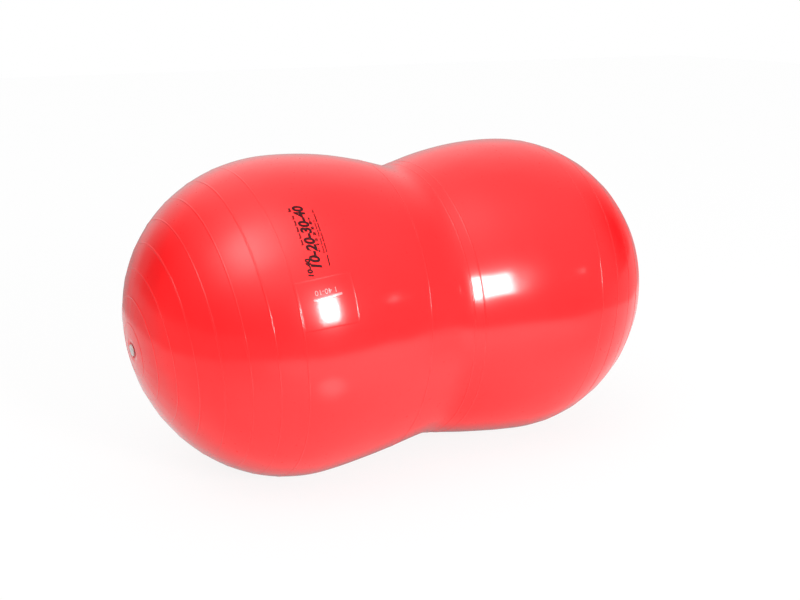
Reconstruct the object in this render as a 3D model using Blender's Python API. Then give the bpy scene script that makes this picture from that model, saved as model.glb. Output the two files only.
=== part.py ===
"""Inflated two-lobed physio roll with a push-in valve plug.

Metres, +Z up. The roll lies along X with its valve at the -X end and stands on two
flats, one under each lobe. The origin is on the floor, below the middle of the roll.
"""

import math

import bmesh
import bpy
from mathutils import Matrix, Vector

# Body of the roll, as inflated
LOBE_RADIUS = 0.188          # largest radius of each lobe
LOBE_CENTRE = 0.1490         # distance from the middle to the fullest ring of a lobe
CAP_LENGTH = 0.1818          # from that ring to the end of the roll
CAP_EXPONENT = 2.03          # 2 gives an elliptical end cap, more a blunter one
FLANK_LENGTH = 0.3306        # half length of the oval that a lobe follows towards the waist
FLANK_EXPONENT = 1.82        # 2 gives an ellipse there, less a slimmer flank
VALLEY_ROUNDING = 0.0155     # how softly the two flanks meet in the waist
WALL = 0.0012                # thickness of the vinyl
REST_DEPTH = 0.0020          # how far the roll's own weight flattens a lobe on the floor
BOW_DROP = 0.0178            # drop of the ends below the middle, as the soft body arches
WAIST_SAG = 0.0057           # how far the waist hangs below that arch

# Valve, sizes along and around its own axis
COLLAR_RADIUS = 0.0090       # part of the seat that shows in the skin's hole
COLLAR_RECESS = 0.0012       # depth of the collar's face below the end of the roll
FLANGE_RADIUS = 0.0170       # disc of the seat under the skin
FLANGE_THICKNESS = 0.0015
NECK_RADIUS = 0.0062         # outside of the tube that points into the air chamber
NECK_LENGTH = 0.0225
BORE_RADIUS = 0.0036         # at the collar's face
BORE_TAPER = 0.0004          # loss of radius down to the neck's end
HEAD_RADIUS = 0.0068
HEAD_THICKNESS = 0.0017
HEAD_ROUNDING = 0.0005
STEM_LENGTH = 0.0200
STEM_GROOVES = 3
GROOVE_DEPTH = 0.0004
GROOVE_WIDTH = 0.0016        # at the stem's surface
GROOVE_FLOOR = 0.0008        # width of its flat bottom

# Clearances
FIT_GAP = 0.0003             # between pieces that touch
BORE_CLEARANCE = 0.0002      # between the stem and the bore, per side

# Fineness of the turned surfaces
BODY_SEGMENTS = 56
CAP_RINGS = 13
WAIST_RINGS = 16
CHAMBER_CAP_RINGS = 7
WAIST_CROWDING = 1.4         # 1 spaces the waist's rings evenly, more draws them to its middle
VALVE_SEGMENTS = 32
ROUNDING_STEPS = 3
SHARP_ANGLE = math.radians(35.0)   # edges that turn more than this stay crisp
CUT_TOLERANCE = 1e-7

HALF_LENGTH = LOBE_CENTRE + CAP_LENGTH
SKIN_HOLE_RADIUS = COLLAR_RADIUS + FIT_GAP
AXIS_HEIGHT = LOBE_RADIUS - REST_DEPTH


def clear_scene():
    for thing in list(bpy.data.objects):
        bpy.data.objects.remove(thing, do_unlink=True)


def plain_material(name, colour, roughness):
    material = bpy.data.materials.new(name)
    material.use_nodes = True
    shader = material.node_tree.nodes["Principled BSDF"]
    shader.inputs["Base Color"].default_value = (*colour, 1.0)
    shader.inputs["Roughness"].default_value = roughness
    return material


# The roll's axis and profile

def axis_point(x):
    """Point of the arched axis, at AXIS_HEIGHT at the fullest rings and sagging at the waist."""
    share = (x * x - LOBE_CENTRE * LOBE_CENTRE) / (HALF_LENGTH * HALF_LENGTH)
    height = AXIS_HEIGHT - BOW_DROP * share
    if abs(x) < LOBE_CENTRE:
        height -= WAIST_SAG * (0.5 + 0.5 * math.cos(math.pi * x / LOBE_CENTRE))
    return Vector((x, 0.0, height))


def axis_direction(x):
    """Unit tangent of the axis, towards +X."""
    slope = -2.0 * BOW_DROP * x / (HALF_LENGTH * HALF_LENGTH)
    if abs(x) < LOBE_CENTRE:
        slope += WAIST_SAG * math.pi / (2.0 * LOBE_CENTRE) * math.sin(math.pi * x / LOBE_CENTRE)
    return Vector((1.0, 0.0, slope)).normalized()


def cap_point(angle, inset):
    """Place along the roll and radius on an end cap; angle 0 is the end, a right angle the fullest ring."""
    power = 2.0 / CAP_EXPONENT
    along = LOBE_CENTRE + (CAP_LENGTH - inset) * max(math.cos(angle), 0.0) ** power
    return along, (LOBE_RADIUS - inset) * math.sin(angle) ** power


def waist_radius(x, inset):
    """Radius between the lobes, where two oval flanks meet in a rounded valley."""
    rounding = VALLEY_ROUNDING * VALLEY_ROUNDING * (1.0 - (x / LOBE_CENTRE) ** 2)
    from_valley = math.sqrt(x * x + rounding)
    share = max(LOBE_CENTRE - from_valley, 0.0) / FLANK_LENGTH
    return LOBE_RADIUS * (1.0 - share ** FLANK_EXPONENT) ** (1.0 / FLANK_EXPONENT) - inset


def cap_angle(radius, inset):
    """Angle of the end cap's ring that has the given radius."""
    return math.asin((radius / (LOBE_RADIUS - inset)) ** (CAP_EXPONENT / 2.0))


def body_profile(inset, cap_rings, hole_radii):
    """Rings from the edge of the valve's hole to the plain end, as (x, radius) pairs.

    hole_radii are the radii of the first rings around the hole.
    """
    first = cap_angle(hole_radii[-1], inset)
    angles = [cap_angle(radius, inset) for radius in hole_radii[:-1]]
    angles += [first + (math.pi / 2 - first) * step / cap_rings for step in range(cap_rings)]
    near = [cap_point(angle, inset) for angle in angles]
    rings = [(-along, radius) for along, radius in near]
    for step in range(WAIST_RINGS + 1):
        place = 2.0 * step / WAIST_RINGS - 1.0
        x = math.copysign(LOBE_CENTRE * abs(place) ** WAIST_CROWDING, place)
        rings.append((x, waist_radius(x, inset)))
    for step in range(1, cap_rings + 1):
        rings.append(cap_point(math.pi / 2 * (1.0 - step / cap_rings), inset))
    return rings


# The skin

def add_ring(bm, x, radius):
    """Ring of vertices square to the arched axis, with a flat strip along its bottom."""
    side = Vector((0.0, 1.0, 0.0))
    up = axis_direction(x).cross(side)
    ring = []
    for step in range(BODY_SEGMENTS):
        angle = 2.0 * math.pi * (step + 0.5) / BODY_SEGMENTS
        ring.append(bm.verts.new(axis_point(x) + radius * (math.cos(angle) * side + math.sin(angle) * up)))
    return ring


def add_band(bm, ring_a, ring_b):
    """Quads between two rings of the same count."""
    count = len(ring_a)
    for step in range(count):
        following = (step + 1) % count
        bm.faces.new((ring_a[step], ring_b[step], ring_b[following], ring_a[following]))


def add_wall(bm, profile, floor_height):
    """One face of the skin's wall, open at the valve and cut flat at floor_height."""
    rings = [add_ring(bm, x, radius) for x, radius in profile[:-1]]
    for ring_a, ring_b in zip(rings, rings[1:]):
        add_band(bm, ring_a, ring_b)
    end = bm.verts.new(axis_point(profile[-1][0]))
    for step in range(BODY_SEGMENTS):
        bm.faces.new((rings[-1][step], end, rings[-1][(step + 1) % BODY_SEGMENTS]))
    cut = bmesh.ops.bisect_plane(
        bm,
        geom=bm.verts[:] + bm.edges[:] + bm.faces[:],
        dist=CUT_TOLERANCE,
        plane_co=(0.0, 0.0, floor_height),
        plane_no=(0.0, 0.0, -1.0),
        clear_outer=True,
    )
    flat_edges = [item for item in cut["geom_cut"] if isinstance(item, bmesh.types.BMEdge)]
    bmesh.ops.holes_fill(bm, edges=flat_edges, sides=0)
    bmesh.ops.recalc_face_normals(bm, faces=bm.faces[:])


def build_skin(material):
    """Hollow body: an outer wall, an inner wall and the rim of the valve's hole between them."""
    outer = bmesh.new()
    add_wall(outer, body_profile(0.0, CAP_RINGS, [SKIN_HOLE_RADIUS, FLANGE_RADIUS]), 0.0)
    outer_mesh = bpy.data.meshes.new("outer_wall")
    outer.to_mesh(outer_mesh)
    outer.free()

    skin = bmesh.new()
    chamber_radii = [SKIN_HOLE_RADIUS, FLANGE_RADIUS + FIT_GAP]
    add_wall(skin, body_profile(WALL, CHAMBER_CAP_RINGS, chamber_radii), WALL)
    for face in skin.faces:
        face.normal_flip()
    skin.from_mesh(outer_mesh)
    bpy.data.meshes.remove(outer_mesh)
    rim_edges = [edge for edge in skin.edges if edge.is_boundary]
    bmesh.ops.bridge_loops(skin, edges=rim_edges)
    bmesh.ops.recalc_face_normals(skin, faces=skin.faces[:])
    return mesh_object("roll_skin", skin, material)


def mesh_object(name, bm, material):
    mesh = bpy.data.meshes.new(name)
    bm.to_mesh(mesh)
    bm.free()
    mesh.materials.append(material)
    mesh.shade_smooth()
    mesh.set_sharp_from_angle(angle=SHARP_ANGLE)
    thing = bpy.data.objects.new(name, mesh)
    bpy.context.collection.objects.link(thing)
    return thing


# Valve pieces, turned about their own Z, which points out of the roll

def turned_solid(name, profile, material, closed_loop):
    """Solid turned from (radius, height) points. The profile is a loop, or runs from axis to axis."""
    bm = bmesh.new()
    rings = []
    for radius, height in profile:
        if radius == 0.0:
            rings.append([bm.verts.new((0.0, 0.0, height))])
            continue
        ring = []
        for step in range(VALVE_SEGMENTS):
            angle = 2.0 * math.pi * step / VALVE_SEGMENTS
            ring.append(bm.verts.new((radius * math.cos(angle), radius * math.sin(angle), height)))
        rings.append(ring)
    pairs = list(zip(rings, rings[1:]))
    if closed_loop:
        pairs.append((rings[-1], rings[0]))
    for ring_a, ring_b in pairs:
        if len(ring_a) == 1 or len(ring_b) == 1:
            tip, ring = (ring_a[0], ring_b) if len(ring_a) == 1 else (ring_b[0], ring_a)
            for step in range(VALVE_SEGMENTS):
                bm.faces.new((tip, ring[step], ring[(step + 1) % VALVE_SEGMENTS]))
        else:
            add_band(bm, ring_a, ring_b)
    bmesh.ops.recalc_face_normals(bm, faces=bm.faces[:])
    return mesh_object(name, bm, material)


def skin_drop(radius, inset):
    """Height of the skin's face at a radius from the valve's axis, below the end of the roll."""
    return cap_point(cap_angle(radius, inset), inset)[0] - HALF_LENGTH


def bore_radius(height):
    """Radius of the tapered bore at a height below the end of the roll."""
    depth = (-COLLAR_RECESS - height) / (FLANGE_THICKNESS + NECK_LENGTH)
    return BORE_RADIUS - BORE_TAPER * depth


def build_valve_seat(material):
    """Collar, flange that follows the inside of the skin, tapered neck, and the bore through them."""
    face = -COLLAR_RECESS
    shoulder = skin_drop(COLLAR_RADIUS, WALL) - FIT_GAP
    flange_edge = skin_drop(FLANGE_RADIUS, WALL) - FIT_GAP
    flange_back = flange_edge - FLANGE_THICKNESS
    neck_end = face - FLANGE_THICKNESS - NECK_LENGTH
    profile = [
        (bore_radius(face), face),
        (COLLAR_RADIUS, face),
        (COLLAR_RADIUS, shoulder),
        (FLANGE_RADIUS, flange_edge),
        (FLANGE_RADIUS, flange_back),
        (NECK_RADIUS, flange_back),
        (NECK_RADIUS, neck_end),
        (bore_radius(neck_end), neck_end),
    ]
    return turned_solid("valve_seat", profile, material, closed_loop=True)


def rounded_corner(radius, height, rounding, upward):
    """Quarter round from the side of a disc to its flat, as (radius, height) points."""
    points = []
    for step in range(ROUNDING_STEPS + 1):
        angle = math.pi / 2 * step / ROUNDING_STEPS
        points.append((
            radius - rounding + rounding * math.cos(angle),
            height + (rounding * (math.sin(angle) - 1.0)) * (1.0 if upward else -1.0),
        ))
    return points


def stem_profile(top, tip):
    """Tapered side of the stem from the head down to its tip, with sealing grooves."""
    points = [(bore_radius(top) - BORE_CLEARANCE, top)]
    pitch = (top - tip) / (STEM_GROOVES + 1)
    for groove in range(1, STEM_GROOVES + 1):
        middle = top - groove * pitch
        upper = [(GROOVE_WIDTH / 2.0, 0.0), (GROOVE_FLOOR / 2.0, GROOVE_DEPTH)]
        lower = [(-offset, depth) for offset, depth in reversed(upper)]
        for offset, depth in upper + lower:
            height = middle + offset
            points.append((bore_radius(height) - BORE_CLEARANCE - depth, height))
    return points


def build_valve_plug(material):
    """Round head that rests on the collar, and a stem down the bore."""
    head_back = -COLLAR_RECESS + FIT_GAP
    head_top = head_back + HEAD_THICKNESS
    tip = head_back - STEM_LENGTH
    profile = [(0.0, head_top)]
    profile += reversed(rounded_corner(HEAD_RADIUS, head_top, HEAD_ROUNDING, upward=True))
    profile += [(HEAD_RADIUS, head_back)]
    profile += stem_profile(head_back, tip)
    profile += rounded_corner(bore_radius(tip) - BORE_CLEARANCE, tip, HEAD_ROUNDING, upward=False)
    profile += [(0.0, tip)]
    return turned_solid("valve_plug", profile, material, closed_loop=False)


def main():
    clear_scene()
    vinyl = plain_material("red_vinyl", (0.85, 0.03, 0.03), 0.22)
    seat_vinyl = plain_material("seat_vinyl", (0.62, 0.03, 0.03), 0.40)
    plug_plastic = plain_material("plug_plastic", (0.66, 0.66, 0.64), 0.45)

    build_skin(vinyl)

    outward = -axis_direction(-HALF_LENGTH)
    valve_frame = bpy.data.objects.new("valve_frame", None)
    turn = outward.to_track_quat("Z", "Y").to_matrix().to_4x4()
    valve_frame.matrix_world = Matrix.Translation(axis_point(-HALF_LENGTH)) @ turn
    bpy.context.collection.objects.link(valve_frame)
    for piece in (build_valve_seat(seat_vinyl), build_valve_plug(plug_plastic)):
        piece.parent = valve_frame


main()
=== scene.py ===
import math

import bmesh
import bpy
import numpy as np
from mathutils import Matrix, Vector


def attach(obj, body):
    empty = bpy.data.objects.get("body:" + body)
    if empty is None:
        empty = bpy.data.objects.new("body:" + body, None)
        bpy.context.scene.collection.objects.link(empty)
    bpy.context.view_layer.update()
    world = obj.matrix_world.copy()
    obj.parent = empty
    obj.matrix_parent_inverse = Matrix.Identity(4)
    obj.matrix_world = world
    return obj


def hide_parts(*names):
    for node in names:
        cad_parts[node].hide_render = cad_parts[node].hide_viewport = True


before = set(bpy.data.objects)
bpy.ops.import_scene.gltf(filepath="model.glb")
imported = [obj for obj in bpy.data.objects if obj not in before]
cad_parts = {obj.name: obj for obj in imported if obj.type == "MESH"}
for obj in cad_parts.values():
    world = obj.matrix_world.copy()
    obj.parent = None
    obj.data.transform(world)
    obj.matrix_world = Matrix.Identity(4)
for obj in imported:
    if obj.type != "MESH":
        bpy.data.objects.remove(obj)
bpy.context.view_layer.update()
print("frame loaded:", sorted(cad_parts))


# Small helpers

def linkObject(name, data):
    thing = bpy.data.objects.new(name, data)
    bpy.context.scene.collection.objects.link(thing)
    return thing


def makeObject(name, verts, faces, smooth=True):
    mesh = bpy.data.meshes.new(name)
    mesh.from_pydata([tuple(v) for v in verts], [], [tuple(f) for f in faces])
    mesh.validate()
    if smooth:
        mesh.shade_smooth()
    return linkObject(name, mesh)


def evaluatedMesh(thing):
    graph = bpy.context.evaluated_depsgraph_get()
    graph.update()
    return bpy.data.meshes.new_from_object(thing.evaluated_get(graph), depsgraph=graph)


def bandFaces(a, b, count):
    # quads between two closed rows of points, which start at a and at b
    return [(a + i, a + (i + 1) % count, b + (i + 1) % count, b + i) for i in range(count)]


def put(tree, node, socket, value):
    # a value is either another node's output or a plain setting
    target = node.inputs[socket]
    if isinstance(value, bpy.types.NodeSocket):
        tree.links.new(value, target)
    else:
        target.default_value = value


def addNode(tree, kind, place, inputs=None, **settings):
    node = tree.nodes.new(kind)
    node.location = place
    for key, value in settings.items():
        setattr(node, key, value)
    for socket, value in (inputs or {}).items():
        put(tree, node, socket, value)
    return node


def mathNode(tree, operation, place, *values):
    return addNode(tree, "ShaderNodeMath", place, dict(enumerate(values)), operation=operation).outputs[0]


def vectorNode(tree, operation, place, *values):
    node = addNode(tree, "ShaderNodeVectorMath", place, dict(enumerate(values)), operation=operation)
    return node.outputs["Value" if operation == "DOT_PRODUCT" else "Vector"]


def joinNode(tree, place, **parts):
    return addNode(tree, "ShaderNodeCombineXYZ", place, parts).outputs["Vector"]


def splitNode(tree, place, vector):
    return addNode(tree, "ShaderNodeSeparateXYZ", place, {0: vector}).outputs


# Shape of the blown-up roll: straight profile first, then the slight arch

roll = {
    "lobeRadius": 0.188,
    "lobeCentre": 0.1490,     # middle of the roll to the fullest ring
    "capLength": 0.1818,
    "capExponent": 2.03,
    "flankLength": 0.3306,    # half length of the oval that each lobe follows towards the waist
    "flankExponent": 1.82,
    "valleyRounding": 0.0155,
    "wall": 0.0012,
    "restDepth": 0.0020,      # how far its weight flattens each lobe
    "archDrop": 0.0178,
    "waistSag": 0.0057,       # how far the waist hangs below that arch
    "flatEdge": 0.0005,       # softness where the flat meets the floor
    "ripple": 0.00005,        # height of the faint waves in the stretched vinyl
    "rippleFade": 0.05,       # they die away where the roll is thinner than this
    "holeRadius": 0.0093,
    "dimpleWidth": 0.0055,    # the skin turns in a little round the valve
    "dimpleDepth": 0.0008,
    "dimpleRows": 12,
    "columns": 256,
    "outerRows": 168,
    "outerGaps": (0.003, 0.0045),   # from the dimple to the first row, from the last row to the tip
    "innerRows": 44,
    "innerGaps": (0.010, 0.012),
    "slopeStep": 0.0004,      # along the surface, to either side of a point whose slope is wanted
}
halfLength = roll["lobeCentre"] + roll["capLength"]
axisHeight = roll["lobeRadius"] - roll["restDepth"]


def profileTable(steps=3000):
    # x, radius and run along the surface, from the valve end to the plain end
    centre, radius = roll["lobeCentre"], roll["lobeRadius"]
    power = 2.0 / roll["capExponent"]
    turn = np.linspace(0.0, math.pi / 2, steps)
    capX = centre + roll["capLength"] * np.clip(np.cos(turn), 0.0, 1.0) ** power
    capX[-1] = centre
    capR = radius * np.sin(turn) ** power
    midX = np.linspace(-centre, centre, steps)[1:-1]
    rounding = roll["valleyRounding"] ** 2 * (1.0 - (midX / centre) ** 2)
    share = np.clip(centre - np.sqrt(midX * midX + rounding), 0.0, None) / roll["flankLength"]
    flank = roll["flankExponent"]
    midR = radius * (1.0 - share ** flank) ** (1.0 / flank)
    x = np.concatenate([-capX, midX, capX[::-1]])
    r = np.concatenate([capR, midR, capR[::-1]])
    run = np.concatenate([[0.0], np.cumsum(np.hypot(np.diff(x), np.diff(r)))])
    return x, r, run


tableX, tableR, tableRun = profileTable()
totalRun = float(tableRun[-1])


def archSlope(x):
    centre = roll["lobeCentre"]
    sag = roll["waistSag"] * math.pi / (2.0 * centre) * np.sin(math.pi * x / centre)
    return -2.0 * roll["archDrop"] * x / halfLength ** 2 + np.where(np.abs(x) < centre, sag, 0.0)


def archHeight(x):
    centre = roll["lobeCentre"]
    sag = roll["waistSag"] * (0.5 + 0.5 * np.cos(math.pi * x / centre))
    arch = axisHeight - roll["archDrop"] * (x * x - centre ** 2) / halfLength ** 2
    return arch - np.where(np.abs(x) < centre, sag, 0.0)


def archPoints(x, side, up):
    # a point of the straight roll, moved onto the arched one
    slope = archSlope(x)
    length = np.sqrt(1.0 + slope * slope)
    return np.stack([x - slope / length * up, side + 0.0 * x, archHeight(x) + up / length], -1)


def restOn(points, level):
    # the floor stops the skin, with a soft edge round the flat
    over = points[..., 2] - level
    soft = roll["flatEdge"]
    points[..., 2] = level + 0.5 * (over + np.sqrt(over * over + soft * soft))
    return points


def skinPoints(run, angle, lift=0.0, level=0.0):
    # angle: 0 is +Y, a quarter turn is up
    run, angle = np.broadcast_arrays(np.asarray(run, float), np.asarray(angle, float))
    x = np.interp(run, tableRun, tableX)
    r = np.interp(run, tableRun, tableR)
    ahead = np.clip(run + roll["slopeStep"], 0, totalRun)
    behind = np.clip(run - roll["slopeStep"], 0, totalRun)
    dx = np.interp(ahead, tableRun, tableX) - np.interp(behind, tableRun, tableX)
    dr = np.interp(ahead, tableRun, tableR) - np.interp(behind, tableRun, tableR)
    size = np.hypot(dx, dr)
    fade = np.clip(r / roll["rippleFade"], 0.0, 1.0)
    # three sets of waves that cross
    wave = (np.sin(run * 118.0 + 3.0 * np.sin(2.0 * angle + 0.7))
            + 0.8 * np.sin(23.0 * angle + run * 31.0)
            + 0.6 * np.sin(run * 61.0 - 13.0 * angle + 1.9))
    out = lift + roll["ripple"] * wave * fade
    x = x - out * dr / size
    r = r + out * dx / size
    return restOn(archPoints(x, r * np.cos(angle), r * np.sin(angle)), level)


def ringRun(radius):
    # run of the ring of that radius on the valve's end cap
    first = tableRun[: len(tableRun) // 3]
    return float(np.interp(radius, tableR[: len(first)], first))


def dimpleDepth(radius):
    share = np.clip((radius - roll["holeRadius"]) / roll["dimpleWidth"], 0.0, 1.0)
    return roll["dimpleDepth"] * (1.0 - share * share * (3.0 - 2.0 * share))


def buildSkin():
    columns = roll["columns"]
    angles = np.arange(columns) * 2.0 * math.pi / columns
    start = ringRun(roll["holeRadius"])
    edge = start + roll["dimpleWidth"]
    dimple = list(np.linspace(start, edge, roll["dimpleRows"]))
    verts, faces = [], []

    def addRows(runs, lift, level):
        starts = []
        for run in runs:
            starts.append(len(verts))
            drop = dimpleDepth(float(np.interp(run, tableRun, tableR)))
            verts.extend(skinPoints(run, angles, lift - drop, level))
        return starts

    def rowRuns(rows, gaps):
        return list(np.linspace(edge + gaps[0], totalRun - gaps[1], rows))

    def closePole(row, run, lift, flip):
        verts.append(skinPoints(run, 0.0, lift))
        tip = len(verts) - 1
        for i in range(columns):
            j = (i + 1) % columns
            faces.append((row + j, row + i, tip) if flip else (row + i, row + j, tip))

    # a band faces outward when its second row is the further one from the valve
    outer = addRows(dimple + rowRuns(roll["outerRows"], roll["outerGaps"]), 0.0, 0.0)
    for a, b in zip(outer, outer[1:]):
        faces += bandFaces(a, b, columns)
    closePole(outer[-1], totalRun, 0.0, False)
    inner = addRows(dimple[::2] + rowRuns(roll["innerRows"], roll["innerGaps"]), -roll["wall"], roll["wall"])
    for a, b in zip(inner, inner[1:]):
        faces += bandFaces(b, a, columns)
    closePole(inner[-1], totalRun, -roll["wall"], True)
    faces += bandFaces(inner[0], outer[0], columns)      # rim of the valve's hole
    return makeObject("inflated_skin", verts, faces)


# Moulded lines round the roll

ringLines = {
    "pitch": 0.0306,          # along the surface from the valve
    "closing": 0.00008,       # each ring is a little nearer to the last one
    "valveEndCount": 8,
    "plainEndPitch": 0.0292,
    "plainEndCount": 9,
    "waistLines": (0.3914, 0.4533, 0.4663),
    "width": 0.0030,
    "height": 0.00026,
    "sink": 0.00070,          # how far the middle of the line's oval section lies under the skin
    "steps": 220,
    "sides": 12,
    "profileSkip": 6,         # every sixth point of the profile is enough here
}


def ringLineTree(material):
    tree = bpy.data.node_groups.new("ringLines", "GeometryNodeTree")
    face = tree.interface
    face.new_socket("Profile", in_out="INPUT", socket_type="NodeSocketGeometry")
    lengths = (
        ("Pitch", "pitch"), ("Closing", "closing"), ("Plain-end pitch", "plainEndPitch"),
        ("Width", "width"), ("Height", "height"), ("Sink", "sink"),
    )
    counts = (("Valve-end rings", "valveEndCount"), ("Plain-end rings", "plainEndCount"), ("Steps", "steps"))
    sockets = {}
    for label, key in lengths:
        sockets[key] = face.new_socket(label, in_out="INPUT", socket_type="NodeSocketFloat")
    for label, key in counts:
        sockets[key] = face.new_socket(label, in_out="INPUT", socket_type="NodeSocketInt")
    waistCount = len(ringLines["waistLines"])
    for line in range(waistCount):
        label = "Waist line %d" % (line + 1)
        sockets[line] = face.new_socket(label, in_out="INPUT", socket_type="NodeSocketFloat")
    face.new_socket("Lines", in_out="OUTPUT", socket_type="NodeSocketGeometry")
    entry = addNode(tree, "NodeGroupInput", (-1500, 0))
    given = {key: entry.outputs[item.name] for key, item in sockets.items()}

    # where each ring crosses the profile
    curve = addNode(tree, "GeometryNodeMeshToCurve", (-1300, 200), {"Mesh": entry.outputs["Profile"]})
    curve = curve.outputs["Curve"]
    length = addNode(tree, "GeometryNodeCurveLength", (-1100, 350), {"Curve": curve}).outputs["Length"]
    index = addNode(tree, "GeometryNodeInputIndex", (-1500, -300)).outputs["Index"]
    order = mathNode(tree, "ADD", (-1300, -300), index, 1.0)
    square = mathNode(tree, "MULTIPLY", (-1250, -450), order, order)
    closing = mathNode(tree, "MULTIPLY", (-1100, -400), square, given["closing"])
    valveRun = mathNode(tree, "MULTIPLY", (-1100, -250), order, given["pitch"])
    valveRun = mathNode(tree, "SUBTRACT", (-900, -350), valveRun, closing)
    plainOrder = mathNode(tree, "SUBTRACT", (-1100, -550), order, given["valveEndCount"])
    plainRun = mathNode(tree, "MULTIPLY", (-1000, -620), plainOrder, given["plainEndPitch"])
    plainRun = mathNode(tree, "SUBTRACT", (-900, -550), length, plainRun)
    endRings = mathNode(tree, "ADD", (-1100, -750), given["valveEndCount"], given["plainEndCount"])

    def choose(limit, later, earlier, place):
        test = mathNode(tree, "GREATER_THAN", place, order, limit)
        gap = mathNode(tree, "SUBTRACT", place, later, earlier)
        return mathNode(tree, "MULTIPLY_ADD", place, test, gap, earlier)

    run = choose(given["valveEndCount"], plainRun, valveRun, (-700, -400))
    for line in range(waistCount):
        limit = mathNode(tree, "ADD", (-700, -750 - 150 * line), endRings, float(line))
        run = choose(limit, given[line], run, (-600 + 100 * line, -500 - 100 * line))

    sample = addNode(tree, "GeometryNodeSampleCurve", (-300, 200), {"Curves": curve, "Length": run},
                     mode="LENGTH")
    crossing = splitNode(tree, (-100, 250), sample.outputs["Position"])
    points = addNode(tree, "GeometryNodePoints", (200, 200), {
        "Count": mathNode(tree, "ADD", (50, 0), endRings, float(waistCount)),
        "Position": joinNode(tree, (50, 300), X=crossing["X"]),
    })
    slope = addNode(tree, "GeometryNodeStoreNamedAttribute", (400, 200), {
        "Geometry": points.outputs["Points"],
        "Name": "profileTangent",
        "Value": sample.outputs["Tangent"],
    }, data_type="FLOAT_VECTOR")

    # one circle for each, square to the axis, with the ring's radius
    circle = addNode(tree, "GeometryNodeCurvePrimitiveCircle", (400, -50),
                     {"Resolution": given["steps"], "Radius": 1.0})
    spread = addNode(tree, "GeometryNodeInstanceOnPoints", (600, 150), {
        "Points": slope.outputs["Geometry"],
        "Instance": circle.outputs["Curve"],
        "Rotation": (0.0, math.pi / 2, 0.0),
        "Scale": joinNode(tree, (400, -250), X=crossing["Y"], Y=crossing["Y"], Z=crossing["Y"]),
    })
    rings = addNode(tree, "GeometryNodeRealizeInstances", (750, 150),
                    {"Geometry": spread.outputs["Instances"]})

    # the line's section stands square to the skin
    at = splitNode(tree, (600, -300), addNode(tree, "GeometryNodeInputPosition", (450, -350)).outputs[0])
    radial = vectorNode(tree, "NORMALIZE", (900, -300), joinNode(tree, (750, -300), Y=at["Y"], Z=at["Z"]))
    kept = addNode(tree, "GeometryNodeInputNamedAttribute", (600, -450), {"Name": "profileTangent"},
                   data_type="FLOAT_VECTOR")
    tangent = splitNode(tree, (750, -450), kept.outputs["Attribute"])
    outward = addNode(tree, "ShaderNodeVectorMath", (1050, -300), {0: radial, "Scale": tangent["X"]},
                      operation="SCALE")
    back = mathNode(tree, "MULTIPLY", (800, -600), tangent["Y"], -1.0)
    along = joinNode(tree, (900, -500), X=back)
    normal = vectorNode(tree, "ADD", (1150, -400), outward.outputs["Vector"], along)
    turned = addNode(tree, "GeometryNodeSetCurveNormal", (950, 150),
                     {"Curve": rings.outputs["Geometry"], "Normal": normal}, mode="FREE")

    section = addNode(tree, "GeometryNodeCurvePrimitiveCircle", (600, 500),
                      {"Resolution": ringLines["sides"], "Radius": 1.0})
    tall = mathNode(tree, "ADD", (600, 400), given["height"], given["sink"])
    half = mathNode(tree, "MULTIPLY", (600, 300), given["width"], 0.5)
    down = mathNode(tree, "MULTIPLY", (600, 700), given["sink"], -1.0)
    flat = addNode(tree, "GeometryNodeTransform", (900, 500), {
        "Geometry": section.outputs["Curve"],
        "Scale": joinNode(tree, (750, 400), X=tall, Y=half, Z=1.0),
        "Translation": joinNode(tree, (750, 600), X=down),
    })
    sweep = addNode(tree, "GeometryNodeCurveToMesh", (1150, 150),
                    {"Curve": turned.outputs["Curve"], "Profile Curve": flat.outputs["Geometry"]})
    final = addNode(tree, "GeometryNodeRealizeInstances", (1250, 100), {"Geometry": sweep.outputs["Mesh"]})
    paint = addNode(tree, "GeometryNodeSetMaterial", (1350, 50),
                    {"Geometry": final.outputs["Geometry"], "Material": material})
    addNode(tree, "NodeGroupOutput", (1500, 0), {"Lines": paint.outputs["Geometry"]})
    return tree, {key: item.identifier for key, item in sockets.items()}


def buildRingLines(material):
    skip = ringLines["profileSkip"]
    x = np.append(tableX[::skip], tableX[-1])
    r = np.append(tableR[::skip], tableR[-1])
    mesh = bpy.data.meshes.new("profile")
    mesh.from_pydata([(a, b, 0.0) for a, b in zip(x, r)], [(i, i + 1) for i in range(len(x) - 1)], [])
    thing = linkObject("moulded_rings", mesh)
    tree, names = ringLineTree(material)
    modifier = thing.modifiers.new("lines", "NODES")
    modifier.node_group = tree
    for key, name in names.items():
        modifier[name] = ringLines["waistLines"][key] if isinstance(key, int) else ringLines[key]
    made = evaluatedMesh(thing)
    thing.modifiers.clear()
    thing.data = made
    # arch the straight rings and rest them on the floor with the skin
    at = np.zeros(len(made.vertices) * 3)
    made.vertices.foreach_get("co", at)
    at = at.reshape(-1, 3)
    at = restOn(archPoints(at[:, 0], at[:, 1], at[:, 2]), 0.0)
    made.vertices.foreach_set("co", at.ravel())
    kept = made.attributes.get("profileTangent")
    if kept:
        made.attributes.remove(kept)
    made.shade_smooth()
    made.update()
    return thing


# Moulded plate beside the ring, with a raised edge, its line and number

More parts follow.
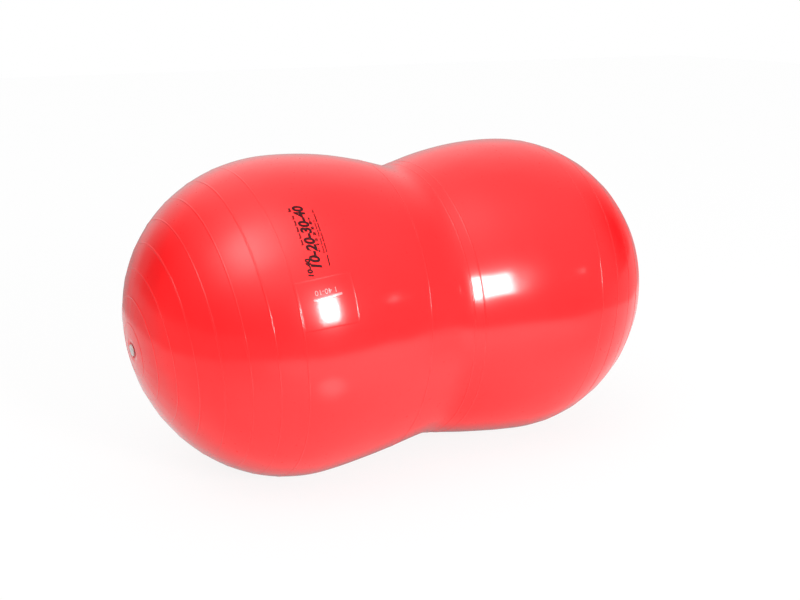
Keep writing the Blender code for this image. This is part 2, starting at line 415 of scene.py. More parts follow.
plate = {
    "run": (0.2398, 0.3008),
    "angle": (151.9, 168.7),      # degrees round the roll
    "steps": 40,
    "height": 0.00008,
    "crest": 0.00023,             # height of the raised edge, which fades out along the bottom
    "rim": -0.00015,              # the sheet's own edge lies in the skin
    "underside": -0.0004,
    "edge": 0.0004,               # from the rim to the crest
    "slope": 0.0014,              # from the crest to the level plate
    "fade": 4.0,                  # the raised edge is whole this many edge widths above the bottom
    "line": ((0.2528, 158.9), (0.2891, 158.2)),
    "lineWidth": 0.0058,          # of the whole bead, of which only the crown shows
    "lineHeight": 0.00015,
    "lineSink": 0.00065,
    "lineSides": 48,
    "linePitch": 0.0015,
    "numberText": "1 40-10",
    "numberSize": 0.0054,
    "numberWidth": 0.0225,
    "numberAt": (0.2809, 155.9),  # reads towards the valve, its feet towards the top
    "numberThick": 0.0001,
    "numberWeight": -0.00020,
    "numberEdge": 0.00020,        # width of its rounded flanks
    "numberRise": 0.45,           # their height for that width
}


def skinNormal(run, angle, step=0.0005, reach=0.18):
    # reach: about the roll's radius
    along = skinPoints(run + step, angle) - skinPoints(run - step, angle)
    around = skinPoints(run, angle + step / reach) - skinPoints(run, angle - step / reach)
    out = np.cross(around, along)
    return out / np.linalg.norm(out, axis=-1, keepdims=True)


def buildPlate():
    # a thin closed sheet that lies in the skin and stands a little out of it
    radius, rim, height, crest = roll["lobeRadius"], plate["rim"], plate["height"], plate["crest"]
    share = np.linspace(0.0, 1.0, plate["steps"])
    runs = plate["run"][0] + (plate["run"][1] - plate["run"][0]) * share
    angles = np.radians(plate["angle"][0] + (plate["angle"][1] - plate["angle"][0]) * share)
    steps = np.array([plate["edge"], plate["edge"] + plate["slope"] / 2, plate["edge"] + plate["slope"]])
    wide = steps[2]
    runs = np.sort(np.concatenate([runs, runs[0] + steps, runs[-1] - steps]))
    angles = np.sort(np.concatenate([angles, angles[0] + steps / radius, angles[-1] - steps / radius]))
    size = len(runs)
    runGrid, angleGrid = np.meshgrid(runs, angles, indexing="ij")
    fromEnds = np.minimum(runs - runs[0], runs[-1] - runs)[:, None]
    fromTop = ((angles - angles[0]) * radius)[None, :]
    fromBottom = ((angles[-1] - angles) * radius)[None, :]
    heights = np.interp(np.minimum(fromEnds, fromTop), [0.0, steps[0], wide], [rim, crest, height])
    limits = np.interp(fromBottom, [0.0, wide, plate["fade"] * wide], [rim, height, crest])
    top = skinPoints(runGrid, angleGrid, np.minimum(heights, limits))
    low = skinPoints(runGrid, angleGrid, plate["underside"])
    verts = list(top.reshape(-1, 3)) + list(low.reshape(-1, 3))
    faces = []
    under = size * size
    for i in range(size - 1):
        for j in range(size - 1):
            a, b, c, d = i * size + j, (i + 1) * size + j, (i + 1) * size + j + 1, i * size + j + 1
            faces.append((a, d, c, b))
            faces.append((a + under, b + under, c + under, d + under))
    border = [(0, j) for j in range(size - 1)] + [(i, size - 1) for i in range(size - 1)]
    border += [(size - 1, j) for j in range(size - 1, 0, -1)] + [(i, 0) for i in range(size - 1, 0, -1)]
    for (i, j), (k, m) in zip(border, border[1:] + border[:1]):
        a, b = i * size + j, k * size + m
        faces.append((a, a + under, b + under, b))
    return makeObject("moulded_plate", verts, faces)


def sweepOnSkin(path, width, height, sink, sides):
    # a rounded bead along (run, angle) points, closed and tapered at both ends
    path = np.asarray(path, float)
    at = skinPoints(path[:, 0], path[:, 1], -sink)
    out = skinNormal(path[:, 0], path[:, 1])
    along = np.gradient(at, axis=0)
    along /= np.linalg.norm(along, axis=1, keepdims=True)
    side = np.cross(along, out)
    count = len(path)
    share = np.minimum(np.arange(count), np.arange(count)[::-1]) / 2.0
    taper = np.sqrt(np.clip(share, 0.12, 1.0))
    verts, faces = [], []
    for k in range(sides):
        turn = 2.0 * math.pi * k / sides
        reach = side * (0.5 * width * math.cos(turn)) + out * ((height + sink) * math.sin(turn))
        verts.append(at + reach * taper[:, None])
    verts = np.stack(verts, 1).reshape(-1, 3)
    for i in range(count - 1):
        faces += bandFaces(i * sides, (i + 1) * sides, sides)
    faces.append(tuple(range(sides))[::-1])
    faces.append(tuple((count - 1) * sides + k for k in range(sides)))
    return verts, faces


def pathBetween(start, end, pitch):
    first = np.array([start[0], math.radians(start[1])])
    last = np.array([end[0], math.radians(end[1])])
    length = math.hypot(last[0] - first[0], (last[1] - first[1]) * roll["lobeRadius"])
    count = max(6, int(length / pitch))
    return first + (last - first) * np.linspace(0.0, 1.0, count)[:, None]


# Figures and marks laid on the skin: along a row is round the roll, its tops are towards the valve

printRows = {
    "thick": 0.00016,
    "lift": 0.00013,
    "drift": 0.055,           # the rows wander along the roll by this share of their length
    # text, place, height, weight, lean, spacing, width
    "lines": (
        ("10-20-30-40", (0.2722, 149.1), 0.0100, 0.00062, 0.30, 1.02, 0.0777),
        ("10-40", (0.2617, 151.3), 0.0048, 0.00040, 0.20, 1.0, 0.0205),
    ),
    # size row: an arrowhead and a bar at each end, figures between them
    "sizeAt": (0.2768, 144.2),
    "sizeHeight": 0.0032,
    "sizeSpan": 0.0437,
    "arrowHeight": 0.0026,
    "barInset": 0.0022,
    "barLength": 0.0036,
    "barHeight": 0.0006,
    "figures": ((0.0085, "0"), (0.0130, "10"), (0.0200, "20"), (0.0270, "30"), (0.0335, "40")),
    "figureShare": 0.85,      # of the row's height
    "figureWeight": 0.00022,
    "figureLean": 0.15,
    # place, length, height of the ticks, ticks in a group with its gap
    "scales": (
        ((0.2620, 140.5), 0.0385, 0.0024, 6),
        ((0.2640, 127.4), 0.0054, 0.0030, 5),
        ((0.2830, 144.4), 0.0532, 0.0018, 9),
        ((0.2801, 144.5), 0.0396, 0.0016, 7),
    ),
    "tickPitch": 0.00135,
    "tickWidth": 0.00100,
    "tickLean": 0.2,
    "shortTick": 0.68,        # of the first tick's height
    "boldLineAt": (0.2816, 149.0),
    "boldLineSpan": 0.0121,
    "boldLineHeight": 0.0012,
}
figureMesh = {
    "capitals": 0.7,          # height of a capital in the built-in font, for a size of 1
    "curveSteps": 3,
    "bevelSteps": 4,
    "longest": 0.003,         # longer edges are cut, so that the figures can bend
    "joinWithin": 1e-7,
}


def layOnSkin(points, at, base):
    # points in metres: along the row, up the row, above the skin
    points = np.asarray(points, float)
    run = at[0] - points[:, 1] + printRows["drift"] * points[:, 0]
    angle = math.radians(at[1]) - points[:, 0] / roll["lobeRadius"]
    return skinPoints(run, angle, base + points[:, 2])


def figureShape(text, size, thick, weight, lean=0.0, spacing=1.0, width=None, bevel=0.0):
    # closed solid figures of the built-in font, in fine pieces
    curve = bpy.data.curves.new("figures", "FONT")
    curve.body = text
    curve.size = size / figureMesh["capitals"]
    curve.extrude = thick / 2
    curve.bevel_depth = bevel
    curve.bevel_resolution = figureMesh["bevelSteps"]
    curve.offset = weight
    curve.shear = lean
    curve.space_character = spacing
    curve.resolution_u = figureMesh["curveSteps"]
    thing = linkObject("figures", curve)
    mesh = evaluatedMesh(thing)
    bpy.data.objects.remove(thing, do_unlink=True)
    bm = bmesh.new()
    bm.from_mesh(mesh)
    bpy.data.meshes.remove(mesh)
    bmesh.ops.remove_doubles(bm, verts=bm.verts[:], dist=figureMesh["joinWithin"])
    for _ in range(2):
        bmesh.ops.triangulate(bm, faces=bm.faces[:])
        longEdges = [edge for edge in bm.edges if edge.calc_length() > figureMesh["longest"]]
        if longEdges:
            bmesh.ops.subdivide_edges(bm, edges=longEdges, cuts=1)
    bmesh.ops.triangulate(bm, faces=bm.faces[:])
    bmesh.ops.recalc_face_normals(bm, faces=bm.faces[:])
    bm.verts.index_update()
    points = np.array([tuple(vert.co) for vert in bm.verts])
    faces = [tuple(vert.index for vert in face.verts) for face in bm.faces]
    bm.free()
    points[:, 0] -= points[:, 0].min()
    if width:
        points[:, 0] *= width / points[:, 0].max()
    return points, faces


def barShape(x, y, length, tall, thick, lean=0.0):
    # a bar of the print, cut into short steps along its length
    steps = max(1, int(length / figureMesh["longest"]))
    points, faces = [], []
    for i in range(steps + 1):
        along = x + length * i / steps
        points += [(along, y, -thick / 2), (along + lean * tall, y + tall, -thick / 2),
                   (along + lean * tall, y + tall, thick / 2), (along, y, thick / 2)]
    for i in range(steps):
        faces += bandFaces(4 * i, 4 * i + 4, 4)
    faces += [(3, 2, 1, 0), tuple(4 * steps + k for k in range(4))]
    return np.array(points), faces


def arrowShape(x, y, tall, thick, direction):
    # solid arrowhead with its tip at x, a little longer than tall
    back = x - direction * tall * 1.1
    ring = [(x, y), (back, y + tall / 2), (back, y - tall / 2)]
    if direction < 0:
        ring.reverse()
    points = [(a, b, thick / 2) for a, b in ring] + [(a, b, -thick / 2) for a, b in ring]
    return np.array(points), [(2, 1, 0), (3, 4, 5), (0, 1, 4, 3), (1, 2, 5, 4), (2, 0, 3, 5)]


class ShapeSet:
    # gathers shapes into one mesh
    def __init__(self):
        self.verts = []
        self.faces = []

    def add(self, points, faces):
        start = len(self.verts)
        self.verts.extend(points)
        self.faces.extend(tuple(start + index for index in face) for face in faces)

    def addPrint(self, shape, at):
        points, faces = shape
        self.add(layOnSkin(points, at, printRows["lift"]), faces)


def buildPrint():
    sheet = ShapeSet()
    thick = printRows["thick"]
    for text, at, size, weight, lean, spacing, width in printRows["lines"]:
        sheet.addPrint(figureShape(text, size, thick, weight, lean, spacing, width), at)

    at, span, tall = printRows["sizeAt"], printRows["sizeSpan"], printRows["sizeHeight"]
    inset, length, height = printRows["barInset"], printRows["barLength"], printRows["barHeight"]
    for x, direction in ((0.0, -1), (span, 1)):
        sheet.addPrint(arrowShape(x, tall / 2, printRows["arrowHeight"], thick, direction), at)
    for x in (inset, span - inset - length):
        sheet.addPrint(barShape(x, tall / 2 - height / 2, length, height, thick), at)
    for x, text in printRows["figures"]:
        points, faces = figureShape(text, tall * printRows["figureShare"], thick,
                                    printRows["figureWeight"], printRows["figureLean"])
        points[:, 0] += x
        sheet.addPrint((points, faces), at)

    # short marks in groups, the first of each group the longest
    pitch, wide, lean = printRows["tickPitch"], printRows["tickWidth"], printRows["tickLean"]
    for at, span, tall, group in printRows["scales"]:
        for i in range(int(span / pitch)):
            if i % group == group - 1:
                continue
            height = tall * (1.0 if i % group == 0 else printRows["shortTick"])
            sheet.addPrint(barShape(i * pitch, 0.0, wide, height, thick, lean), at)
    bold = barShape(0.0, 0.0, printRows["boldLineSpan"], printRows["boldLineHeight"], thick)
    sheet.addPrint(bold, printRows["boldLineAt"])
    return makeObject("printed_scale", sheet.verts, sheet.faces, smooth=False)


def buildPlateMarks():
    sheet = ShapeSet()
    path = pathBetween(*plate["line"], plate["linePitch"])
    verts, faces = sweepOnSkin(path, plate["lineWidth"], plate["lineHeight"], plate["lineSink"],
                               plate["lineSides"])
    sheet.add(verts, faces)
    points, faces = figureShape(plate["numberText"], plate["numberSize"], plate["numberThick"],
                                plate["numberWeight"], width=plate["numberWidth"], bevel=plate["numberEdge"])
    points[:, 2] *= plate["numberRise"]
    run, angle = plate["numberAt"]
    runs = run - points[:, 0]
    angles = math.radians(angle) + points[:, 1] / roll["lobeRadius"]
    sheet.add(skinPoints(runs, angles, plate["height"] + points[:, 2]), faces)
    return makeObject("moulded_marks", sheet.verts, sheet.faces)


# Valve: turned pieces on their own axis, which points out of the roll

valve = {
    "collarRadius": 0.0090,
    "collarRecess": 0.0012,
    "flangeRadius": 0.0170,
    "flangeThickness": 0.0015,
    "neckRadius": 0.0062,
    "neckLength": 0.0225,
    "boreRadius": 0.0036,
    "boreTaper": 0.0004,
    "mouth": 0.0004,          # widening of the bore at the collar's face
    "fitGap": 0.0003,
    "edgeRound": 0.0004,
    "rootRound": 0.0012,      # where the neck meets the flange
    "endChamfer": 0.0005,
    "smallChamfer": 0.0003,
    "groove": (0.0060, 0.0063, 0.0072, 0.0075),     # radii of the shallow groove in the face
    "grooveDepth": 0.00025,
    "segments": 72,
    "sharpAngle": 40.0,
}
plug = {
    "headRadius": 0.0068,
    "headThickness": 0.0017,
    "headRound": 0.0005,
    "underRound": 0.0003,
    "stemLength": 0.0200,
    "tipRound": 0.0007,
    "grooves": 3,
    "grooveDepth": 0.0004,
    "grooveWidth": 0.0020,
    "clearance": 0.0002,
    "dishDepth": 0.00035,
    "dishRadius": 0.0046,
    "dishSlope": (0.0008, 0.0002),    # inward from its radius to the floor, and half the lip's width
    "dishLip": 0.00008,
    "gateMark": ((0.0, 0.00018), (0.0005, 0.00012), (0.0009, 0.0)),   # radius, height above the dish
}


def roundCorner(centre, radius, first, last, steps=5):
    turns = np.radians(np.linspace(first, last, steps))
    return [(centre[0] + radius * math.cos(t), centre[1] + radius * math.sin(t)) for t in turns]


def boreRadius(height):
    depth = (-valve["collarRecess"] - height) / (valve["flangeThickness"] + valve["neckLength"])
    return valve["boreRadius"] - valve["boreTaper"] * depth


def capDrop(radius, inset):
    # height of the skin beside the valve, below the end of the roll
    share = (radius / (roll["lobeRadius"] - inset)) ** roll["capExponent"]
    return (roll["capLength"] - inset) * (1.0 - share) ** (1.0 / roll["capExponent"]) - roll["capLength"]


def turnedPiece(name, profile, closedLoop):
    # profile of (radius, height) points, a loop or a line from axis to axis
    count = valve["segments"]
    angles = np.arange(count) * 2.0 * math.pi / count
    verts, rings, faces = [], [], []
    for radius, height in profile:
        if radius < 1e-7:
            rings.append([len(verts)])
            verts.append((0.0, 0.0, height))
        else:
            rings.append(list(range(len(verts), len(verts) + count)))
            verts += [(radius * math.cos(a), radius * math.sin(a), height) for a in angles]
    pairs = list(zip(rings, rings[1:]))
    if closedLoop:
        pairs.append((rings[-1], rings[0]))
    for a, b in pairs:
        for i in range(count):
            j = (i + 1) % count
            if len(a) == 1:
                faces.append((a[0], b[i], b[j]))
            elif len(b) == 1:
                faces.append((a[i], b[0], a[j]))
            else:
                faces.append((a[i], b[i], b[j], a[j]))
    thing = makeObject(name, verts, faces)
    bm = bmesh.new()
    bm.from_mesh(thing.data)
    bmesh.ops.recalc_face_normals(bm, faces=bm.faces[:])
    bm.to_mesh(thing.data)
    bm.free()
    end = -halfLength
    outward = -Vector((1.0, 0.0, float(archSlope(end)))).normalized()
    place = Matrix.Translation((end, 0.0, float(archHeight(end))))
    thing.data.transform(place @ outward.to_track_quat("Z", "Y").to_matrix().to_4x4())
    thing.data.set_sharp_from_angle(angle=math.radians(valve["sharpAngle"]))
    return thing


def buildSeat():
    face = -valve["collarRecess"]
    collar, flange, gap = valve["collarRadius"], valve["flangeRadius"], valve["fitGap"]
    wall, neck, edge, mouth = roll["wall"], valve["neckRadius"], valve["edgeRound"], valve["mouth"]
    root, chamfer, small = valve["rootRound"], valve["endChamfer"], valve["smallChamfer"]
    neckEnd = face - valve["flangeThickness"] - valve["neckLength"]
    first, second, third, fourth = valve["groove"]
    deep = face - valve["grooveDepth"]
    profile = [(boreRadius(face) + mouth, face), (first, face), (second, deep), (third, deep), (fourth, face)]
    profile += roundCorner((collar - edge, face - edge), edge, 90.0, 0.0)
    shoulder = [(r, capDrop(r, wall) - gap - dimpleDepth(r)) for r in np.linspace(collar, flange - edge, 12)]
    profile += shoulder
    top = shoulder[-1][1]
    back = top - valve["flangeThickness"]
    profile += [(flange, top - small), (flange, back + edge), (flange - edge, back)]
    profile += roundCorner((neck + root, back - root), root, 90.0, 180.0)
    profile += [(neck, neckEnd + chamfer), (neck - chamfer, neckEnd)]
    profile += [(boreRadius(neckEnd) + small, neckEnd), (boreRadius(neckEnd), neckEnd + edge)]
    profile += [(boreRadius(face - mouth), face - mouth)]
    return turnedPiece("valve_seat_moulded", profile, True)


def buildPlug():
    back = -valve["collarRecess"] + valve["fitGap"]
    top = back + plug["headThickness"]
    tip = back - plug["stemLength"]
    head, dish, floor = plug["headRadius"], plug["dishRadius"], top - plug["dishDepth"]
    upper, under, end = plug["headRound"], plug["underRound"], plug["tipRound"]
    wide, narrow = plug["dishSlope"]
    profile = [(radius, floor + height) for radius, height in plug["gateMark"]]
    profile += [(dish - wide, floor), (dish - narrow, top - plug["dishLip"]), (dish + narrow, top)]
    profile += roundCorner((head - upper, top - upper), upper, 90.0, 0.0)
    profile += roundCorner((head - under, back + under), under, 0.0, -90.0)
    profile += [(boreRadius(back) - plug["clearance"], back)]
    pitch = plug["stemLength"] / (plug["grooves"] + 1)
    for groove in range(1, plug["grooves"] + 1):
        middle = back - groove * pitch
        for share in np.linspace(-1.0, 1.0, 9):
            height = middle - share * plug["grooveWidth"] / 2
            dip = plug["grooveDepth"] * (0.5 + 0.5 * math.cos(math.pi * share))
            profile.append((boreRadius(height) - plug["clearance"] - dip, height))
    tipRadius = boreRadius(tip) - plug["clearance"]
    profile += roundCorner((tipRadius - end, tip + end), end, 0.0, -90.0)
    profile += [(0.0, tip)]
    return turnedPiece("valve_plug_turned", profile, False)


# Finishes

vinylLook = {
    "colour": (0.930, 0.0088, 0.0115),
    "deeper": (0.880, 0.0070, 0.0095),
    "patches": (0.35, 0.70, 0.0, 0.5),    # noise from and to, share of the deeper colour from and to
    "fleckShare": 0.12,
    "roughness": (0.27, 0.34),
    "specular": 0.05,
    "gloss": 1.0,
    "glossRoughness": 0.15,
    "glossIor": 1.52,
    "patchScale": 11.0,
    "fleckScale": 260.0,
    "waveScale": 26.0,
    "waveDepth": 0.00035,
    "peelScale": 420.0,
    "peelDepth": 0.000012,
}
# paler red for the raised line and number on the plate: a painted highlight, standing in for the light their
# flanks catch
paintedGlintLook = dict(vinylLook, colour=(0.95, 0.26, 0.27), deeper=(0.93, 0.20, 0.21))
seatLook = {
    "colour": (0.86, 0.030, 0.034),
    "darker": (0.74, 0.022, 0.026),
    "roughness": (0.36, 0.50),
    "grainScale": 700.0,
    "grainDepth": 0.00002,
}
plugLook = dict(seatLook, colour=(0.66, 0.65, 0.63), darker=(0.52, 0.51, 0.49), grainScale=900.0)
inkLook = {
    "colour": (0.030, 0.004, 0.006),
    "worn": (0.22, 0.008, 0.010),
    "wear": (0.58, 0.68, 0.0, 1.0),       # noise from and to, share of the worn colour from and to
    "roughness": (0.40, 0.55),
    "specular": 0.12,
    "wearScale": 700.0,
}


def newMaterial(name):
    material = bpy.data.materials.new(name)
    material.use_nodes = True
    tree = material.node_tree
    shader = tree.nodes["Principled BSDF"]
    shader.location = (300, 0)
    coords = addNode(tree, "ShaderNodeTexCoord", (-1200, 0)).outputs["Object"]
    return material, tree, shader, coords


def noiseNode(tree, coords, place, scale, detail=2.0, rough=0.5):
    inputs = {"Vector": coords, "Scale": scale, "Detail": detail, "Roughness": rough}
    return addNode(tree, "ShaderNodeTexNoise", place, inputs).outputs["Fac"]


def mixColours(tree, place, factor, first, second):
    inputs = {0: factor, 6: (*first, 1.0), 7: (*second, 1.0)}
    return addNode(tree, "ShaderNodeMix", place, inputs, data_type="RGBA").outputs[2]


def rangeNode(tree, place, value, low, high, toLow, toHigh):
    inputs = dict(enumerate((value, low, high, toLow, toHigh)))
    return addNode(tree, "ShaderNodeMapRange", place, inputs).outputs[0]


def bumpNode(tree, place, height, distance, **normal):
    inputs = {"Height": height, "Distance": distance, "Strength": 1.0, **normal}
    return addNode(tree, "ShaderNodeBump", place, inputs).outputs["Normal"]


def vinylMaterial(name, look):
    material, tree, shader, coords = newMaterial(name)
    patches = noiseNode(tree, coords, (-1000, 300), look["patchScale"], 4.0, 0.55)
    flecks = noiseNode(tree, coords, (-1000, 0), look["fleckScale"], 3.0, 0.6)
    shade = rangeNode(tree, (-750, 300), patches, *look["patches"])
    shade = mathNode(tree, "MULTIPLY_ADD", (-600, 250), flecks, look["fleckShare"], shade)
    put(tree, shader, "Base Color", mixColours(tree, (-350, 300), shade, look["colour"], look["deeper"]))
    put(tree, shader, "Roughness", rangeNode(tree, (-750, 0), flecks, 0.3, 0.7, *look["roughness"]))
    waves = noiseNode(tree, coords, (-1000, -300), look["waveScale"], 1.0, 0.4)
    peel = noiseNode(tree, coords, (-1000, -600), look["peelScale"])
    normal = bumpNode(tree, (-500, -300), waves, look["waveDepth"])
    normal = bumpNode(tree, (-250, -400), peel, look["peelDepth"], Normal=normal)
    put(tree, shader, "Normal", normal)
    put(tree, shader, "Coat Normal", normal)
    put(tree, shader, "Specular IOR Level", look["specular"])
    put(tree, shader, "Coat Weight", look["gloss"])
    put(tree, shader, "Coat Roughness", look["glossRoughness"])
    put(tree, shader, "Coat IOR", look["glossIor"])
    return material


def mouldedMaterial(name, look):
    material, tree, shader, coords = newMaterial(name)
    grain = noiseNode(tree, coords, (-900, 200), look["grainScale"], 3.0, 0.6)
    cloud = noiseNode(tree, coords, (-900, -100), look["grainScale"] * 0.2)
    shade = rangeNode(tree, (-650, 200), cloud, 0.35, 0.7, 0.0, 1.0)
    put(tree, shader, "Base Color", mixColours(tree, (-350, 300), shade, look["colour"], look["darker"]))
    put(tree, shader, "Roughness", rangeNode(tree, (-650, -50), grain, 0.3, 0.7, *look["roughness"]))
    put(tree, shader, "Normal", bumpNode(tree, (-300, -200), grain, look["grainDepth"]))
    return material


def inkMaterial(name, look):
    material, tree, shader, coords = newMaterial(name)
    wear = noiseNode(tree, coords, (-900, 200), look["wearScale"], 3.0, 0.65)
    worn = rangeNode(tree, (-650, 200), wear, *look["wear"])
    put(tree, shader, "Base Color", mixColours(tree, (-350, 300), worn, look["colour"], look["worn"]))
    put(tree, shader, "Roughness", rangeNode(tree, (-650, -50), wear, 0.3, 0.7, *look["roughness"]))
    put(tree, shader, "Specular IOR Level", look["specular"])
    return material


# Putting the roll together

def useMaterial(thing, material):
    thing.data.materials.clear()
    thing.data.materials.append(material)


vinyl = vinylMaterial("red_vinyl", vinylLook)
skin = buildSkin()
useMaterial(skin, vinyl)
plateSheet = buildPlate()
useMaterial(plateSheet, vinyl)
plateMarks = buildPlateMarks()
# the line and number get the paler vinyl, whose colour is a painted highlight
useMaterial(plateMarks, vinylMaterial("painted_glint_vinyl", paintedGlintLook))
lines = buildRingLines(vinyl)
print("skin, plate and moulded rings made")

figures = buildPrint()
useMaterial(figures, inkMaterial("print_ink", inkLook))
seat = buildSeat()
useMaterial(seat, mouldedMaterial("seat_vinyl", seatLook))
stopper = buildPlug()
useMaterial(stopper, mouldedMaterial("plug_plastic", plugLook))
print("print, valve seat and plug made")

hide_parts("roll_skin")
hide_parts("valve_seat")
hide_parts("valve_plug")
for piece in (skin, plateSheet, plateMarks, lines, figures):
    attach(piece, "roll")
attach(seat, "roll")
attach(stopper, "plug")


# Studio

studio = {
    "floorSize": 14.0,
    "floorColour": 0.86,
    "floorGrain": 0.02,          # how much darker its grain is
    "grainScale": 3.0,
    "floorPaper": 0.88,          # share of its own brightness that the camera sees
    "paperGloss": 0.78,          # what the roll's gloss shows of the near floor
    "farGloss": 0.38,
    "paperMiddle": (0.06, 0.0, 0.0),
    "paperHalf": (0.93, 0.87, 1.0),
    "paperEdge": (0.93, 1.10),   # where it starts to fade and where it ends, 1 at the half sizes
    "ambient": 0.10,
    "topGlow": 0.06,
    "topHeights": (0.25, 0.95),  # the top glow grows between these heights of the direction
}
# direction a glow comes from (degrees from the front, height), its strength and tightness
glows = (
    ((-66.0, 55.0), 2.42, 25.0),
    ((-44.0, 65.5), 1.55, 7.4),
    ((4.0, 20.0), 1.50, 50.0),
    ((32.0, 38.0), 0.48, 1.3),
    ((183.0, 35.0), 0.72, 2.6),
    ((-142.5, 21.0), -0.51, 9.1),
    ((95.0, 12.7), -0.41, 13.5),
    ((104.0, 74.0), -0.13, 13.0),
)
# light that lies on the floor in front of the roll: middle, half sizes, strength
floorGlows = (
    ((-0.01, -0.665), (0.55, 0.30), 0.87),
    ((-0.11, -0.28), (0.42, 0.16), 0.35),
    ((-0.13, -0.41), (0.060, 0.080), 1.30),
    ((0.0, -0.02), (0.30, 0.21), -0.46),         # the roll's own shade
)
lamps = {
    # name: (point it lights, direction (degrees from front, height), distance, wide, tall, radiance)
    "front_box": ((-0.174, -0.178, 0.241), (10.1, 16.0), 2.5, 0.62, 0.63, 42.0),
    "glint": ((0.0, -0.17, 0.24), (42.0, 13.0), 3.0, 0.10, 0.10, 10.0),
}
shot = {
    "aim": (0.0, 0.0, 0.18530),
    "at": (-0.64038, -1.15058, 0.54874),
    "focal": 1099.0,             # pixels, in a picture that wide
    "pictureWidth": 800.0,
    "offset": (6.38, 0.62),      # pixels right of the aim and below it
    "sensor": 36.0,
}


def directionOf(turn, height):
    a, e = math.radians(turn), math.radians(height)
    return Vector((math.sin(a) * math.cos(e), -math.cos(a) * math.cos(e), math.sin(e)))


def buildFloor():
    half = studio["floorSize"] / 2
    verts = [(-half, -half, 0.0), (half, -half, 0.0), (half, half, 0.0), (-half, half, 0.0)]
    floor = makeObject("studio_floor", verts, [(0, 1, 2, 3)], smooth=False)
    material = bpy.data.materials.new("pale_paper")
    material.use_nodes = True
    tree = material.node_tree
    tree.nodes.clear()
    coords = addNode(tree, "ShaderNodeTexCoord", (-1000, 0)).outputs["Object"]
    grain = noiseNode(tree, coords, (-800, 200), studio["grainScale"], 3.0)
    tone = studio["floorColour"]
    colour = mixColours(tree, (-300, 200), grain, (tone,) * 3, (tone - studio["floorGrain"],) * 3)
    diffuse = addNode(tree, "ShaderNodeBsdfDiffuse", (0, 200), {"Color": colour})
    rays = addNode(tree, "ShaderNodeLightPath", (-800, -300))
    camera, glossy = rays.outputs["Is Camera Ray"], rays.outputs["Is Glossy Ray"]

    def shareNode(low, middle, halfSizes):
        # offset from the middle, in half sizes
        offset = vectorNode(tree, "SUBTRACT", (-1000, low), coords, middle)
        return vectorNode(tree, "DIVIDE", (-850, low), offset, halfSizes)

    # the bright paper is an oblong with round corners
    share = shareNode(0, studio["paperMiddle"], studio["paperHalf"])
    square = vectorNode(tree, "MULTIPLY", (-700, 0), share, share)
    fourth = vectorNode(tree, "DOT_PRODUCT", (-550, 0), square, square)
    lit = rangeNode(tree, (-400, 0), fourth, *studio["paperEdge"], studio["paperGloss"], studio["farGloss"])
    for index, (middle, halfSizes, strength) in enumerate(floorGlows):
        # flat in the middle, soft at the edge
        low = -500 - 250 * index
        share = shareNode(low, (*middle, 0.0), (*halfSizes, 1.0))
        square = vectorNode(tree, "DOT_PRODUCT", (-700, low), share, share)
        power = mathNode(tree, "MULTIPLY", (-550, low), square, square)
        power = mathNode(tree, "MULTIPLY", (-400, low), power, -1.0)
        bright = mathNode(tree, "EXPONENT", (-300, low), power)
        lit = mathNode(tree, "MULTIPLY_ADD", (-150, low), bright, strength, lit)
    glossPart = mathNode(tree, "MULTIPLY", (-400, -100), glossy, lit)
    strength = mathNode(tree, "ADD", (-200, -100), camera, glossPart)
    glow = addNode(tree, "ShaderNodeEmission", (0, 0), {"Color": (1.0,) * 4, "Strength": strength})
    share = mathNode(tree, "MULTIPLY_ADD", (-200, -300), camera, studio["floorPaper"], glossy)
    blend = addNode(tree, "ShaderNodeMixShader", (300, 0),
                    {0: share, 1: diffuse.outputs[0], 2: glow.outputs[0]})
    addNode(tree, "ShaderNodeOutputMaterial", (600, 0), {"Surface": blend.outputs[0]})
    useMaterial(floor, material)


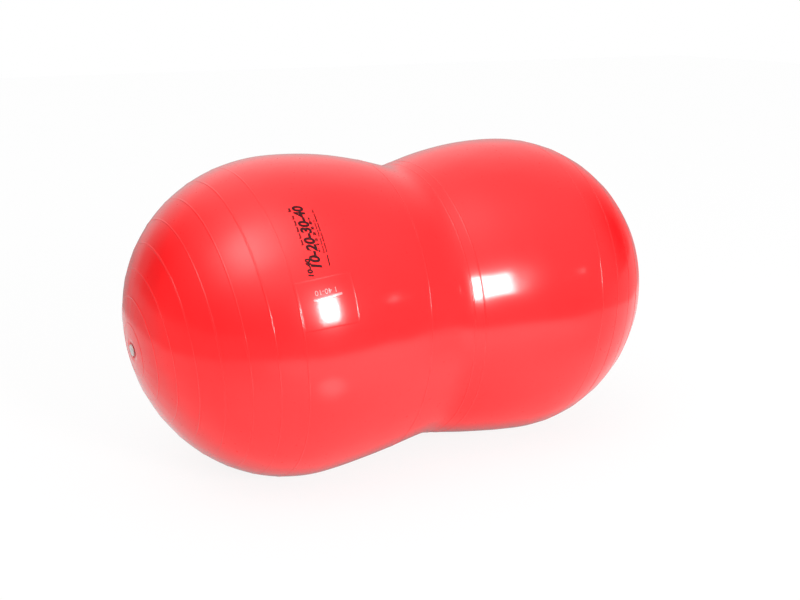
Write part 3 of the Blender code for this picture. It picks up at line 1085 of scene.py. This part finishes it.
def buildWorld():
    world = bpy.data.worlds.new("studio")
    bpy.context.scene.world = world
    world.use_nodes = True
    tree = world.node_tree
    tree.nodes.clear()
    coords = addNode(tree, "ShaderNodeTexCoord", (-1200, 0)).outputs["Generated"]
    aim = vectorNode(tree, "NORMALIZE", (-1000, 0), coords)
    total = rangeNode(tree, (-600, 200), splitNode(tree, (-800, 200), aim)["Z"], *studio["topHeights"],
                      studio["ambient"], studio["ambient"] + studio["topGlow"])
    for index, (place, strength, tight) in enumerate(glows):
        low = -200 * index
        dot = vectorNode(tree, "DOT_PRODUCT", (-800, low), aim, directionOf(*place))
        power = mathNode(tree, "MULTIPLY_ADD", (-600, low), dot, tight, -tight)
        bright = mathNode(tree, "EXPONENT", (-400, low), power)
        total = mathNode(tree, "MULTIPLY_ADD", (-200, low), bright, strength, total)
    # the camera sees plain white, the roll sees the glows
    toCamera = addNode(tree, "ShaderNodeLightPath", (0, 300)).outputs["Is Camera Ray"]
    toRest = mathNode(tree, "SUBTRACT", (0, 100), 1.0, toCamera)
    strength = mathNode(tree, "MULTIPLY_ADD", (250, 0), total, toRest, toCamera)
    background = addNode(tree, "ShaderNodeBackground", (400, 0), {"Color": (1.0,) * 4, "Strength": strength})
    addNode(tree, "ShaderNodeOutputWorld", (600, 0), {"Surface": background.outputs[0]})


def aimed(axis, at, direction):
    return Matrix.Translation(at) @ direction.to_track_quat(axis, "Y").to_matrix().to_4x4()


def buildLamps():
    for name, (point, place, distance, wide, tall, radiance) in lamps.items():
        lamp = bpy.data.lights.new(name, "AREA")
        lamp.shape = "RECTANGLE"
        lamp.size = wide
        lamp.size_y = tall
        lamp.energy = radiance * math.pi * wide * tall
        away = directionOf(*place)
        linkObject(name, lamp).matrix_world = aimed("Z", Vector(point) + distance * away, away)


def buildCamera():
    at, focal = Vector(shot["at"]), shot["focal"]
    ahead = (Vector(shot["aim"]) - at).normalized()
    right = ahead.cross(Vector((0.0, 0.0, 1.0))).normalized()
    up = right.cross(ahead)
    toRight, toFoot = shot["offset"]
    ahead = (ahead + right * (toRight / focal) - up * (toFoot / focal)).normalized()
    data = bpy.data.cameras.new("camera")
    data.sensor_width = shot["sensor"]
    data.lens = shot["sensor"] * focal / shot["pictureWidth"]
    camera = linkObject("camera", data)
    camera.matrix_world = aimed("-Z", at, ahead)
    bpy.context.scene.camera = camera


buildFloor()
buildWorld()
buildLamps()
buildCamera()
bpy.context.scene.view_settings.view_transform = "Standard"
print("studio set")

bpy.context.view_layer.update()
